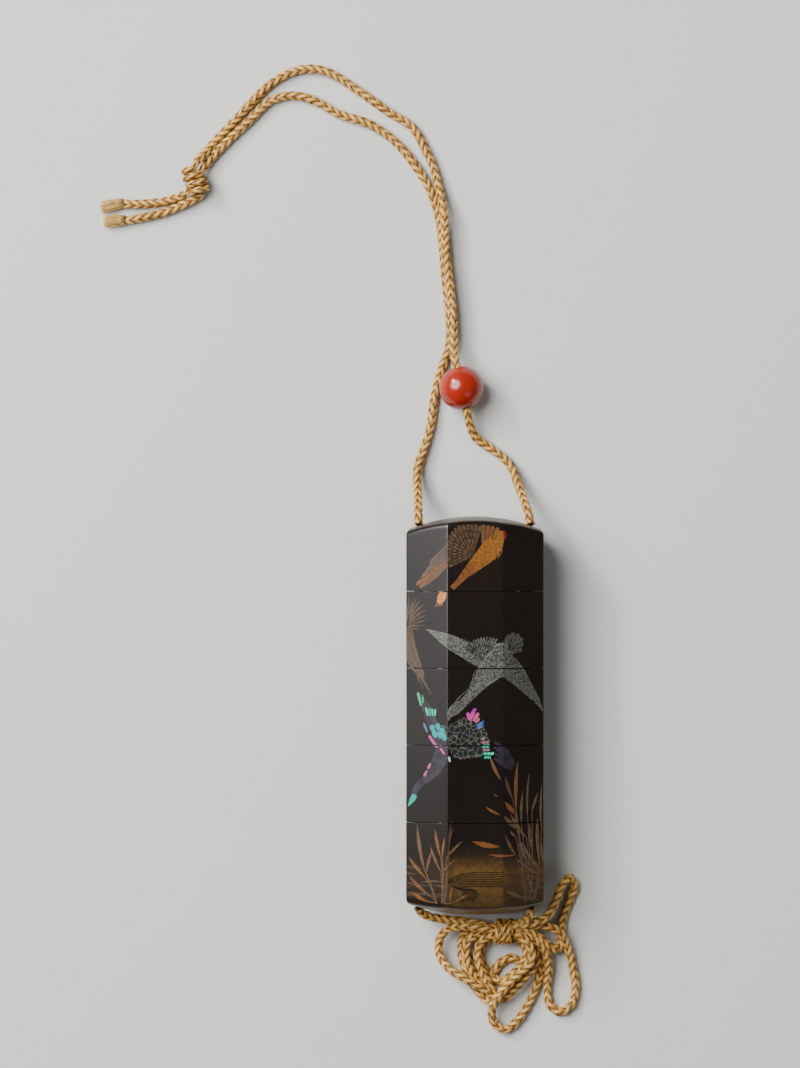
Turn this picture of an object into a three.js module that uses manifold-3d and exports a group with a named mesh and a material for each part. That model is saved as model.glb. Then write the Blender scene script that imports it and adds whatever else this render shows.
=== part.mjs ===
// Inro: a small lacquered medicine case of four stacked sections under a lid, with its silk cord,
// coral sliding bead, end knot and the bow that gathers the slack cord under its base.
// Millimetres. The case lies on its back: X is its width, Y runs up its length towards the lid,
// Z is up through its depth. The origin is on the table under the middle of the case.
import * as THREE from 'three';
import { mergeVertices } from 'three/addons/utils/BufferGeometryUtils.js';
import Module from 'manifold-3d';

// Case
const CASE_WIDTH = 33.8;
const CASE_DEPTH = 22;
const CASE_LENGTH = 98.4;
const FLAT_WIDTH = 13.6; // front and back facets
const SIDE_DEPTH = 12; // side facets
const EDGE_ROUND = 0.8; // round of the two end faces into the facets
const SEAMS = [30.7, 11.8, -7.1, -26.1]; // heights of the joints, lid first
const SEAM_GAP = 0.3;
const FIT_GAP = 0.3; // between a lip and the recess over it
// End faces: each bulges like part of a sphere, with its own radius across the width and the depth.
const LID_DOME = { radius: 43, depthRadius: 47 };
const BASE_DOME = { radius: 54, depthRadius: 41 };

// Compartments
const CAVITY = { halfWidth: 10.4, halfDepth: 8.2, corner: 3 };
const LIP_WALL = 0.9;
const LIP_HEIGHT = 4.3;
const RECESS_DEPTH = LIP_HEIGHT + FIT_GAP;
const FLOOR = 1.4; // between a compartment and the recess under it
const LID_CEILING = 46;
const BASE_FLOOR = -46.2;

// Cord and its channels
const CORD_RADIUS = 1.1;
const CORD_SIDES = 8;
const CHANNEL_X = 13.85;
const CHANNEL_RADIUS = 1.4;
const CHANNEL_CORD_HALF = 46.2; // the hidden stretch ends just inside both mouths
const MOUTH = { lid: 47.2, base: -47.7 };
const STRAND_STEP = 6.6;
const LOOP_STEP = 5.5;
const SLIVER = 0.04;

// Sliding bead, drilled along the cord
const BEAD_RADIUS = 5.5;
const BEAD_BORE = 1.75;
const BEAD_CENTRE = [-3.2, 81.1, BEAD_RADIUS];
const BEAD_LEAN = 0.235; // radians, of the bore from Y towards -X

const MID_Z = CASE_DEPTH / 2;

// Cord routes, from where each stretch leaves the case or a knot.
const LEFT_STRAND = [
  [-CHANNEL_X, MOUTH.lid, MID_Z], [-13.9, 50, 9.6], [-14, 53.5, 6.2], [-14.2, 57.5, 3.4],
  [-14, 61.5, 2.1], [-12.5, 66, 1.5], [-10.8, 72, 1.2], [-9.9, 78.5, 1.2], [-8.4, 85, 1.2],
  [-6.2, 91.5, 1.2], [-6.1, 98.5, 1.2], [-6.9, 107, 1.2], [-7.8, 115.5, 1.2], [-8.6, 123, 1.2],
  [-11, 130.5, 1.2], [-14.5, 136.5, 1.2], [-19.5, 142.5, 1.2], [-26, 147, 1.2],
  [-33.5, 149.5, 1.2], [-40, 153, 1.2], [-45.5, 154.2, 1.2], [-50.9, 152.7, 1.2], [-55.9, 148, 1.2],
  [-61.5, 142.8, 1.2], [-65.2, 138.8, 1.5], [-66.6, 137.2, 1.8],
];
const RIGHT_STRAND = [
  [CHANNEL_X, MOUTH.lid, MID_Z], [13.2, 50.5, 9.2], [11.9, 54.2, 5.8], [10.7, 57.6, 3.5],
  [9.4, 61.2, 2.1], [7, 64.1, 1.4], [3.5, 66.6, 1.3], [0.3, 69, 2.1], [-1.2, 72.3, 3.9],
  [-1.9, 75.6, 5.3], [-3.2, 81.1, 5.5], [-4.5, 86.6, 5.3], [-5, 90.5, 4.1], [-5.2, 95.5, 3.6],
  [-5.4, 101, 3.6], [-6, 106.5, 3.6], [-6.9, 113, 3.6], [-7.2, 119.5, 3.5], [-7.5, 125, 3.3],
  [-8.2, 128.7, 2.6], [-9, 132.3, 1.7], [-10.1, 136.2, 1.2], [-11.7, 139.8, 1.2],
  [-15.5, 146.3, 1.2], [-21.5, 150.2, 1.2], [-29, 155.5, 1.2], [-37, 160.2, 1.2],
  [-43.5, 160.6, 1.2], [-50.1, 157.5, 1.2], [-55.8, 152.1, 1.2], [-61.1, 147, 1.2],
  [-65.7, 142.1, 1.6], [-68.3, 139.4, 2.8], [-69.2, 137.8, 3.6],
];
const TAIL_UPPER = [
  [-72.2, 129.6, 2.4], [-74.2, 128.7, 1.6], [-77, 127.8, 1.2], [-83.5, 127.1, 1.2],
  [-88.8, 127.2, 1.2], [-93, 126.4, 1.2],
];
const TAIL_LOWER = [
  [-72, 127.2, 1.6], [-74.2, 126.2, 1.3], [-77.3, 125, 1.2], [-84.3, 123.4, 1.2],
  [-88, 122.8, 1.2], [-92, 121.8, 1.2],
];
const BOW_ROUTES = [
  // lead from the left channel
  [[-CHANNEL_X, MOUTH.base, MID_Z], [-13.6, -50, 10], [-11.6, -51.1, 8.4], [-8, -51.3, 7.1],
    [-4, -51.4, 6.3], [0.5, -51.9, 5.8], [6, -52.9, 5.5]],
  // lead from the right channel
  [[CHANNEL_X, MOUTH.base, MID_Z], [13.7, -49.8, 10], [12.5, -51.2, 8.2], [9.4, -52.4, 6.4]],
  // wide outer loop on the left, back along the front loop
  [[6, -53.4, 6.5], [0.5, -52.8, 7], [-3.5, -52.6, 6.3], [-6.8, -53.6, 4.8], [-8.6, -56.2, 3.2],
    [-8.6, -60, 2.6], [-6.4, -63.2, 3.8], [-2.5, -65.6, 4.9], [1.5, -67.7, 4.6], [4.5, -69.6, 3.1],
    [7.2, -71, 2], [9.6, -69, 2.8], [12.5, -65.8, 3.6], [15.2, -62.3, 3.9], [15, -59, 3.9],
    [9.4, -54.8, 4]],
  // narrow loop down the left and back up beside the wide one
  [[6, -54, 2.7], [0.8, -54.2, 1.6], [-2.4, -55, 1.2], [-3.3, -58.5, 1.2], [-2.4, -63.2, 1.2],
    [-0.5, -67, 1.2], [1.7, -70, 1.2], [3.8, -71.6, 1.5], [4.6, -69.6, 2.2], [3.2, -66.3, 2.8],
    [1.5, -62.8, 3.4], [0.9, -59.2, 3.7], [2.2, -56.2, 4.2], [6, -54.4, 5]],
  // loop under it that arches across the middle
  [[6, -54.1, 3.6], [1.2, -54.6, 3.3], [-1.5, -56.6, 3.1], [-1.9, -60, 2.9], [-0.8, -63.8, 2.4],
    [1.6, -66.4, 1.6], [4, -65.6, 1.2], [6.3, -62.4, 1.2], [9, -60.9, 1.2], [12.5, -62, 1.2],
    [15.2, -60.8, 1.6], [13.5, -57, 2.6], [9.4, -54.4, 3.3]],
  // lowest loop, mostly hidden
  [[6, -54.8, 2.4], [2.6, -57.2, 1.2], [1.6, -60.7, 1.2], [3.2, -64.2, 1.2], [6.5, -66.8, 1.6],
    [9.5, -64.8, 2.7], [12.6, -61.5, 3], [12.8, -58.2, 3], [9.4, -55, 2.8]],
  // long front loop
  [[9.2, -54, 5.8], [12.2, -55.6, 6.8], [14, -58.2, 7], [14.2, -61, 6.8], [11.8, -63.8, 6],
    [8.6, -66.9, 5.4], [5.9, -70.2, 4.7], [4.4, -74, 3.2], [5.2, -77.4, 1.7], [8, -78.7, 1.2],
    [10.9, -76.5, 1.2], [13.8, -72, 1.2], [16, -66.5, 1.2], [16.6, -61.9, 2.1], [14.6, -57.8, 3.6],
    [9.4, -54.4, 4.9]],
  // lower right loop
  [[9.2, -53.1, 5.2], [14, -52.6, 5.4], [18, -52.6, 5.1], [21.4, -54.4, 4], [23.4, -58.3, 2.5],
    [24.7, -63.8, 1.4], [25.3, -69, 1.2], [24, -73, 1.2], [21.5, -74.4, 1.2], [19, -72.6, 1.2],
    [18.3, -68.5, 1.3], [18.6, -63.2, 2.8], [17.6, -58.8, 4.6], [14.5, -55.4, 5.7],
    [9.2, -53.6, 5.8]],
  // raised loop beside the case
  [[9.2, -52.5, 6.8], [14, -51.8, 7.7], [17.8, -50.2, 7.7], [20.2, -46.4, 6.6], [21.9, -42.4, 4.6],
    [23.8, -40.8, 2.8], [25.1, -43, 1.5], [23.8, -46.6, 1.2], [22.3, -50.5, 1.2], [21.7, -55, 1.7],
    [20.9, -58.5, 3.2], [18.4, -57.3, 4.7], [14.5, -54.2, 6], [9.2, -53.1, 6.3]],
];

// Knots: a core gripped by turns of the cord, each turn an oval ring round the knot's axis
const BOW_KNOT = { centre: [7.7, -54, 4.6], turns: 3, pitch: 1.75, ring: 2.35, stretch: 1.3, lean: 0 };
const END_KNOT = { centre: [-69.3, 132.6, 2.9], turns: 3, pitch: 2, ring: 1.95, stretch: 0.9, lean: 0.5 };
const END_KNOT_AXIS = -1.22; // radians, direction of the strands through the end knot

const LACQUER = { color: 0x17120f, roughness: 0.12, metalness: 0 };
const CORAL = { color: 0xc4391c, roughness: 0.22, metalness: 0 };
const SILK = { color: 0xc98f3f, roughness: 0.6, metalness: 0 };

const wasm = await Module();
wasm.setup();

const part = new THREE.Group();

function add(name, geometry, finish) {
  geometry.computeVertexNormals();
  const mesh = new THREE.Mesh(geometry, new THREE.MeshStandardMaterial(finish));
  mesh.name = name;
  part.add(mesh);
}

function solid(geometry) {
  geometry.deleteAttribute('normal');
  geometry.deleteAttribute('uv');
  const merged = mergeVertices(geometry, 1e-5);
  return new wasm.Manifold(new wasm.Mesh({
    numProp: 3,
    vertProperties: new Float32Array(merged.attributes.position.array),
    triVerts: new Uint32Array(merged.index.array),
  }));
}

function geometryOf(manifold) {
  const mesh = manifold.getMesh();
  const geometry = new THREE.BufferGeometry();
  geometry.setAttribute('position', new THREE.BufferAttribute(mesh.vertProperties, 3));
  geometry.setIndex(new THREE.BufferAttribute(mesh.triVerts, 1));
  return geometry;
}

// Joins bodies into one and collapses the slivers where their facets cross.
function union(solids) {
  return solids.reduce((all, next) => all.add(next)).simplify(SLIVER);
}

// The case's eight-sided section, set in from the facets by a distance. Corners run anticlockwise
// from the front facet's right end, about the middle of the case.
function sectionCorners(inset) {
  const halfWidth = CASE_WIDTH / 2;
  const flat = FLAT_WIDTH / 2;
  const side = SIDE_DEPTH / 2;
  const tilt = Math.atan2(MID_Z - side, halfWidth - flat);
  const flatInset = inset * Math.tan(tilt / 2);
  const sideInset = inset * Math.tan((Math.PI / 2 - tilt) / 2);
  const quarter = [[flat - flatInset, MID_Z - inset], [halfWidth - inset, side - sideInset]];
  const [front, edge] = quarter;
  return [
    front, [-front[0], front[1]], [-edge[0], edge[1]], [-edge[0], -edge[1]],
    [-front[0], -front[1]], [front[0], -front[1]], [edge[0], -edge[1]], edge,
  ];
}

// The same section with points along each facet, so that a domed end can follow its curve.
function sectionRing(inset) {
  const corners = sectionCorners(inset);
  const pieces = [4, 3, 2, 3, 4, 3, 2, 3];
  return corners.flatMap((corner, i) => {
    const next = corners[(i + 1) % corners.length];
    return Array.from({ length: pieces[i] }, (_, k) => [
      THREE.MathUtils.lerp(corner[0], next[0], k / pieces[i]),
      THREE.MathUtils.lerp(corner[1], next[1], k / pieces[i]),
    ]);
  });
}

// How far an end face has fallen away from its crown at a point of the section.
function domeFall(dome, x, z) {
  const { radius, depthRadius } = dome;
  return radius * (1 - Math.sqrt(1 - (x / radius) ** 2 - (z / depthRadius) ** 2));
}

// A closed body through rings of [x, z] points, each ring at its own heights.
function loft(rings, startY, endY) {
  const count = rings[0].length;
  const position = [0, startY, MID_Z];
  rings.flat().forEach(([x, y, z]) => position.push(x, y, z + MID_Z));
  position.push(0, endY, MID_Z);
  const last = 1 + rings.length * count;
  const index = [];
  for (let k = 0; k < count; k += 1) {
    const next = (k + 1) % count;
    index.push(0, 1 + k, 1 + next);
    for (let ring = 0; ring < rings.length - 1; ring += 1) {
      const low = 1 + ring * count;
      const high = low + count;
      index.push(low + k, high + k, low + next, low + next, high + k, high + next);
    }
    const top = last - count;
    index.push(last, top + next, top + k);
  }
  if (endY < startY) index.reverse();
  const geometry = new THREE.BufferGeometry();
  geometry.setAttribute('position', new THREE.Float32BufferAttribute(position, 3));
  geometry.setIndex(index);
  return geometry;
}

// One end of the case: flat where it meets the next section, domed and rounded at the other end.
function domedBlock(flatY, crownY, dome) {
  const way = Math.sign(crownY - flatY);
  const heightAt = (x, z, drop) => crownY - way * (domeFall(dome, x, z) + drop);
  const rings = [sectionRing(0).map(([x, z]) => [x, flatY, z])];
  for (const angle of [0, Math.PI / 4, Math.PI / 2]) {
    const inset = EDGE_ROUND * (1 - Math.cos(angle));
    const drop = EDGE_ROUND * (1 - Math.sin(angle));
    rings.push(sectionRing(inset).map(([x, z]) => [x, heightAt(x, z, drop), z]));
  }
  for (const scale of [0.7, 0.35]) {
    const inner = sectionRing(EDGE_ROUND).map(([x, z]) => [x * scale, z * scale]);
    rings.push(inner.map(([x, z]) => [x, heightAt(x, z, 0), z]));
  }
  return loft(rings, flatY, crownY);
}

// A straight body of a shape drawn across the case, from one height to another.
function prism(shape, lowY, highY) {
  const geometry = new THREE.ExtrudeGeometry(shape, {
    depth: highY - lowY, bevelEnabled: false, curveSegments: 4,
  });
  return geometry.rotateX(Math.PI / 2).translate(0, highY, MID_Z);
}

function compartmentShape(grow) {
  const w = CAVITY.halfWidth + grow;
  const d = CAVITY.halfDepth + grow;
  const r = CAVITY.corner + grow;
  const shape = new THREE.Shape();
  shape.absarc(w - r, d - r, r, 0, Math.PI / 2);
  shape.absarc(r - w, d - r, r, Math.PI / 2, Math.PI);
  shape.absarc(r - w, r - d, r, Math.PI, 1.5 * Math.PI);
  shape.absarc(w - r, r - d, r, 1.5 * Math.PI, 2 * Math.PI);
  return shape;
}

function drillChannels(body) {
  return [-CHANNEL_X, CHANNEL_X].reduce((left, x) => {
    const bore = new THREE.CylinderGeometry(CHANNEL_RADIUS, CHANNEL_RADIUS, 2 * CASE_LENGTH, 14);
    return left.subtract(solid(bore.translate(x, 0, MID_Z)));
  }, body);
}

// A section with its compartment. A lip stands round the mouth where another section sits on it,
// and a recess underneath takes the lip of the section below.
function hollowed(block, { floorY, ceilingY, lipFrom, recessFrom }) {
  let body = solid(block);
  if (lipFrom !== undefined) {
    const lip = prism(compartmentShape(LIP_WALL), lipFrom - 1, lipFrom + LIP_HEIGHT);
    body = body.add(solid(lip));
  }
  if (recessFrom !== undefined) {
    const recess = prism(compartmentShape(LIP_WALL + FIT_GAP), recessFrom - 1, recessFrom + RECESS_DEPTH);
    body = body.subtract(solid(recess));
  }
  body = body.subtract(solid(prism(compartmentShape(0), floorY, ceilingY)));
  return geometryOf(drillChannels(body));
}

function buildLid() {
  const low = SEAMS[0] + SEAM_GAP / 2;
  const block = domedBlock(low, CASE_LENGTH / 2, LID_DOME);
  const mouth = { floorY: low - 1, ceilingY: LID_CEILING, recessFrom: low };
  add('lid', hollowed(block, mouth), LACQUER);
}

function buildCases() {
  SEAMS.forEach((seam, i) => {
    const high = seam - SEAM_GAP / 2;
    const isBase = i === SEAMS.length - 1;
    const low = isBase ? -CASE_LENGTH / 2 : SEAMS[i + 1] + SEAM_GAP / 2;
    const outline = new THREE.Shape(sectionCorners(0).map(([x, z]) => new THREE.Vector2(x, z)));
    const block = isBase ? domedBlock(high, low, BASE_DOME) : prism(outline, low, high);
    const inside = {
      floorY: isBase ? BASE_FLOOR : low + RECESS_DEPTH + FLOOR,
      ceilingY: high + LIP_HEIGHT + 1,
      lipFrom: high,
      recessFrom: isBase ? undefined : low,
    };
    add(`case_${i + 1}`, hollowed(block, inside), LACQUER);
  });
}

function buildBead() {
  const mouth = Math.asin(BEAD_BORE / BEAD_RADIUS);
  const steps = 12;
  const profile = Array.from({ length: steps + 1 }, (_, k) => {
    const angle = THREE.MathUtils.lerp(Math.PI - mouth, mouth, k / steps);
    return new THREE.Vector2(BEAD_RADIUS * Math.sin(angle), BEAD_RADIUS * Math.cos(angle));
  });
  profile.push(profile[0].clone());
  const bead = new THREE.LatheGeometry(profile, 28).rotateZ(BEAD_LEAN).translate(...BEAD_CENTRE);
  add('ojime_bead', geometryOf(solid(bead)), CORAL);
}

function cordTube(points, step) {
  const section = new THREE.Shape(Array.from({ length: CORD_SIDES }, (_, k) => {
    const angle = ((k + 0.5) / CORD_SIDES) * 2 * Math.PI;
    return new THREE.Vector2(CORD_RADIUS * Math.cos(angle), CORD_RADIUS * Math.sin(angle));
  }));
  const path = new THREE.CatmullRomCurve3(points.map((p) => new THREE.Vector3(...p)));
  const steps = Math.max(1, Math.round(path.getLength() / step));
  return new THREE.ExtrudeGeometry(section, { steps, extrudePath: path, bevelEnabled: false });
}

function buildCord() {
  for (const [side, x] of [['left', -CHANNEL_X], ['right', CHANNEL_X]]) {
    const ends = [[x, -CHANNEL_CORD_HALF, MID_Z], [x, CHANNEL_CORD_HALF, MID_Z]];
    add(`channel_cord_${side}`, cordTube(ends, 2 * CHANNEL_CORD_HALF), SILK);
  }
  add('cord_left_strand', cordTube(LEFT_STRAND, STRAND_STEP), SILK);
  add('cord_right_strand', cordTube(RIGHT_STRAND, STRAND_STEP), SILK);
  add('cord_tail_upper', cordTube(TAIL_UPPER, STRAND_STEP), SILK);
  add('cord_tail_lower', cordTube(TAIL_LOWER, STRAND_STEP), SILK);
}

// Turns of cord round a core along X, centred on the origin.
function knotTurns({ turns, pitch, ring, stretch, lean }) {
  const rings = Array.from({ length: turns }, (_, k) => {
    const turn = new THREE.TorusGeometry(ring, CORD_RADIUS, CORD_SIDES, 18);
    turn.rotateY(Math.PI / 2 + lean).scale(1, 1, stretch);
    return solid(turn.translate((k - (turns - 1) / 2) * pitch, 0, 0));
  });
  const length = turns * pitch + 0.6;
  const core = new THREE.CylinderGeometry(ring, ring, length, 16).rotateZ(Math.PI / 2);
  return union([solid(core.scale(1, 1, stretch)), ...rings]);
}

function buildEndKnot() {
  const { centre } = END_KNOT;
  const knot = knotTurns(END_KNOT).rotate([0, 0, THREE.MathUtils.radToDeg(END_KNOT_AXIS)]);
  add('cord_end_knot', geometryOf(knot.translate(centre)), SILK);
}

function buildBow() {
  const loops = BOW_ROUTES.map((route) => solid(cordTube(route, LOOP_STEP)));
  const knot = knotTurns(BOW_KNOT).translate(BOW_KNOT.centre);
  // The strands can close off a pocket inside the knot, which is left filled.
  const bodies = union([knot, ...loops]).decompose();
  const bow = bodies.reduce((largest, next) => (next.volume() > largest.volume() ? next : largest));
  add('cord_bow', geometryOf(bow), SILK);
}

buildLid();
buildCases();
buildBead();
buildCord();
buildEndKnot();
buildBow();

export default part;
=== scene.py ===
"""Inro: a lacquered medicine case with its silk cord, coral bead, end knot and bow.

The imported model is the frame. Everything is in metres in the case's own frame: the case lies on
its back facet, X is its width, Y runs up its length towards the lid and Z is up.
"""
import math

import bmesh
import bpy
import numpy as np
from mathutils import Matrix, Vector
from mathutils.geometry import delaunay_2d_cdt


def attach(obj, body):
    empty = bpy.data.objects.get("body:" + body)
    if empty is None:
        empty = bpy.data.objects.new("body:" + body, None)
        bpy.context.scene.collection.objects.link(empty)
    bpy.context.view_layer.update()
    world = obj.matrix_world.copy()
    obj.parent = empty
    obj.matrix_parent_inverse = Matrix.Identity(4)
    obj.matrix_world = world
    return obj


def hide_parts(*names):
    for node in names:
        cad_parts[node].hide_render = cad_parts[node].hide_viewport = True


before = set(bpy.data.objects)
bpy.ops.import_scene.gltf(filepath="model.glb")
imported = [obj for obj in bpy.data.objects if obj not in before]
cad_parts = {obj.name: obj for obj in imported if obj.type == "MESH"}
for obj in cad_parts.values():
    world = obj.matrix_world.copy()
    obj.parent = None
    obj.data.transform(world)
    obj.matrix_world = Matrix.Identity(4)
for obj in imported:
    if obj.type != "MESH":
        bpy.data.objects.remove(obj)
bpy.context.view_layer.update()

MM = 0.001

# ---------------------------------------------------------------- named sizes, in millimetres
CASE_WIDTH = 33.8
CASE_DEPTH = 22.0
CASE_LENGTH = 98.4
FLAT_WIDTH = 13.6
SIDE_DEPTH = 12.0
MID_Z = CASE_DEPTH / 2

CORD_DIAMETER = 2.2
CHANNEL_X = 13.85
MOUTH_LID = 47.2
MOUTH_BASE = -47.7

BEAD_RADIUS = 5.5
BEAD_BORE = 1.75
BEAD_CENTRE = (-3.2, 81.1, BEAD_RADIUS)
BEAD_LEAN = 0.235

# ---------------------------------------------------------------- cord routes
# The frame's, apart from the left lead, which lies nearer the base, and the right strand's last
# points, which lie nearer the left strand.

LEFT_STRAND = [
    (-CHANNEL_X, MOUTH_LID, MID_Z), (-13.9, 50, 9.6), (-14, 53.5, 6.2), (-14.2, 57.5, 3.4),
    (-14, 61.5, 2.1), (-12.5, 66, 1.5), (-10.8, 72, 1.2), (-9.9, 78.5, 1.2), (-8.4, 85, 1.2),
    (-6.2, 91.5, 1.2), (-6.1, 98.5, 1.2), (-6.9, 107, 1.2), (-7.8, 115.5, 1.2), (-8.6, 123, 1.2),
    (-11, 130.5, 1.2), (-14.5, 136.5, 1.2), (-19.5, 142.5, 1.2), (-26, 147, 1.2),
    (-33.5, 149.5, 1.2), (-40, 153, 1.2), (-45.5, 154.2, 1.2), (-50.9, 152.7, 1.2),
    (-55.9, 148, 1.2), (-61.5, 142.8, 1.2), (-65.2, 138.8, 1.5), (-66.6, 137.2, 1.8),
]
RIGHT_STRAND = [
    (CHANNEL_X, MOUTH_LID, MID_Z), (13.2, 50.5, 9.2), (11.9, 54.2, 5.8), (10.7, 57.6, 3.5),
    (9.4, 61.2, 2.1), (7, 64.1, 1.4), (3.5, 66.6, 1.3), (0.3, 69, 2.1), (-1.2, 72.3, 3.9),
    (-1.9, 75.6, 5.3), (-3.2, 81.1, 5.5), (-4.5, 86.6, 5.3), (-5, 90.5, 4.1), (-5.2, 95.5, 3.6),
    (-5.4, 101, 3.6), (-6, 106.5, 3.6), (-6.9, 113, 3.6), (-7.2, 119.5, 3.5), (-7.5, 125, 3.3),
    (-8.2, 128.7, 2.6), (-9, 132.3, 1.7), (-10.1, 136.2, 1.2), (-11.7, 139.8, 1.2),
    (-15.5, 146.3, 1.2), (-21.5, 150.2, 1.2), (-29, 155.5, 1.2), (-37, 160.2, 1.2),
    (-43.5, 160.6, 1.2), (-50.1, 157.5, 1.2), (-55.8, 152.1, 1.2), (-60.8, 146.7, 1.2),
    (-65.3, 141.8, 1.6), (-67.5, 139.3, 2.7), (-69.0, 137.6, 3.5),
]
TAIL_UPPER = [
    (-72.2, 129.6, 2.4), (-74.2, 128.7, 1.6), (-77, 127.8, 1.2), (-83.5, 127.1, 1.2),
    (-88.8, 127.2, 1.2), (-93, 126.4, 1.2),
]
TAIL_LOWER = [
    (-72, 127.2, 1.6), (-74.2, 126.2, 1.3), (-77.3, 125, 1.2), (-84.3, 123.4, 1.2),
    (-88, 122.8, 1.2), (-92, 121.8, 1.2),
]
LEAD_LEFT = [
    (-CHANNEL_X, MOUTH_BASE, MID_Z), (-13.5, -48.6, 9.8), (-12, -49.7, 8.4), (-9.2, -50.6, 7.3),
    (-6, -51, 6.6), (-2.8, -51.4, 6.2), (1.2, -52.1, 5.8), (6.2, -53.2, 5.5),
]
LEAD_RIGHT = [
    (CHANNEL_X, MOUTH_BASE, MID_Z), (13.7, -49.8, 10), (12.5, -51.2, 8.2), (9.4, -52.4, 6.4),
]
WIDE_LOOP = [
    (6, -53.4, 6.5), (0.5, -52.8, 7), (-3.5, -52.6, 6.3), (-6.8, -53.6, 4.8), (-8.6, -56.2, 3.2),
    (-8.6, -60, 2.6), (-6.4, -63.2, 3.8), (-2.5, -65.6, 4.9), (1.5, -67.7, 4.6), (4.5, -69.6, 3.1),
    (7.2, -71, 2), (9.6, -69, 2.8), (12.5, -65.8, 3.6), (15.2, -62.3, 3.9), (15, -59, 3.9),
    (9.4, -54.8, 4),
]
NARROW_LOOP = [
    (6, -54, 2.7), (0.8, -54.2, 1.6), (-2.4, -55, 1.2), (-3.3, -58.5, 1.2), (-2.4, -63.2, 1.2),
    (-0.5, -67, 1.2), (1.7, -70, 1.2), (3.8, -71.6, 1.5), (4.6, -69.6, 2.2), (3.2, -66.3, 2.8),
    (1.5, -62.8, 3.4), (0.9, -59.2, 3.7), (2.2, -56.2, 4.2), (6, -54.4, 5),
]
ARCHING_LOOP = [
    (6, -54.1, 3.6), (1.2, -54.6, 3.3), (-1.5, -56.6, 3.1), (-1.9, -60, 2.9), (-0.8, -63.8, 2.4),
    (1.6, -66.4, 1.6), (4, -65.6, 1.2), (6.3, -62.4, 1.2), (9, -60.9, 1.2), (12.5, -62, 1.2),
    (15.2, -60.8, 1.6), (13.5, -57, 2.6), (9.4, -54.4, 3.3),
]
LOWEST_LOOP = [
    (6, -54.8, 2.4), (2.6, -57.2, 1.2), (1.6, -60.7, 1.2), (3.2, -64.2, 1.2), (6.5, -66.8, 1.6),
    (9.5, -64.8, 2.7), (12.6, -61.5, 3), (12.8, -58.2, 3), (9.4, -55, 2.8),
]
FRONT_LOOP = [
    (9.2, -54, 5.8), (12.2, -55.6, 6.8), (14, -58.2, 7), (14.2, -61, 6.8), (11.8, -63.8, 6),
    (8.6, -66.9, 5.4), (5.9, -70.2, 4.7), (4.4, -74, 3.2), (5.2, -77.4, 1.7), (8, -78.7, 1.2),
    (10.9, -76.5, 1.2), (13.8, -72, 1.2), (16, -66.5, 1.2), (16.6, -61.9, 2.1), (14.6, -57.8, 3.6),
    (9.4, -54.4, 4.9),
]
LOWER_RIGHT_LOOP = [
    (9.2, -53.1, 5.2), (14, -52.6, 5.4), (18, -52.6, 5.1), (21.4, -54.4, 4), (23.4, -58.3, 2.5),
    (24.7, -63.8, 1.4), (25.3, -69, 1.2), (24, -73, 1.2), (21.5, -74.4, 1.2), (19, -72.6, 1.2),
    (18.3, -68.5, 1.3), (18.6, -63.2, 2.8), (17.6, -58.8, 4.6), (14.5, -55.4, 5.7),
    (9.2, -53.6, 5.8),
]
RAISED_LOOP = [
    (9.2, -52.5, 6.8), (14, -51.8, 7.7), (17.8, -50.2, 7.7), (20.2, -46.4, 6.6),
    (21.9, -42.4, 4.6), (23.8, -40.8, 2.8), (25.1, -43, 1.5), (23.8, -46.6, 1.2),
    (22.3, -50.5, 1.2), (21.7, -55, 1.7), (20.9, -58.5, 3.2), (18.4, -57.3, 4.7),
    (14.5, -54.2, 6), (9.2, -53.1, 6.3),
]
BOW_KNOT = (7.7, -54, 4.6)
BOW_RING = 2.35
BOW_STRETCH = 1.3  # how much taller than wide the turns round the knot are
END_KNOT = (-69.3, 132.6, 2.9)
END_KNOT_AXIS = -1.22
END_KNOT_HALF = 3.5

# ---------------------------------------------------------------- stage, camera and lights

VIEW_DISTANCE = 1.150  # metres from the camera to the top of the case
VIEW_HEIGHT = 0.26166  # metres that the picture's height takes in at that distance
FLOOR_HALF = 3.0


def make_camera():
    data = bpy.data.cameras.new("camera")
    camera = bpy.data.objects.new("camera", data)
    bpy.context.scene.collection.objects.link(camera)
    camera.location = (-0.01845, 0.0448, VIEW_DISTANCE + CASE_DEPTH * MM)
    data.sensor_fit = "VERTICAL"
    data.sensor_height = 24
    data.lens = data.sensor_height * VIEW_DISTANCE / VIEW_HEIGHT
    data.clip_start = 0.05
    bpy.context.scene.camera = camera


def make_floor():
    mesh = bpy.data.meshes.new("floor")
    corners = [(x * FLOOR_HALF, y * FLOOR_HALF, 0) for x, y in ((-1, -1), (1, -1), (1, 1), (-1, 1))]
    mesh.from_pydata(corners, [], [(0, 1, 2, 3)])
    floor = bpy.data.objects.new("floor", mesh)
    bpy.context.scene.collection.objects.link(floor)
    material = bpy.data.materials.new("floor_paper")
    material.use_nodes = True
    shader = material.node_tree.nodes["Principled BSDF"]
    shader.inputs["Base Color"].default_value = (0.62, 0.62, 0.60, 1)
    shader.inputs["Roughness"].default_value = 0.9
    shader.inputs["Specular IOR Level"].default_value = 0.1
    mesh.materials.append(material)


def area_light(name, place, target, size, power):
    data = bpy.data.lights.new(name, "AREA")
    data.shape = "ELLIPSE"
    data.size, data.size_y = size
    data.energy = power
    light = bpy.data.objects.new(name, data)
    light.location = place
    way = Vector(target) - Vector(place)
    light.rotation_euler = way.to_track_quat("-Z", "Y").to_euler()
    light.visible_camera = False
    bpy.context.scene.collection.objects.link(light)


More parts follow.
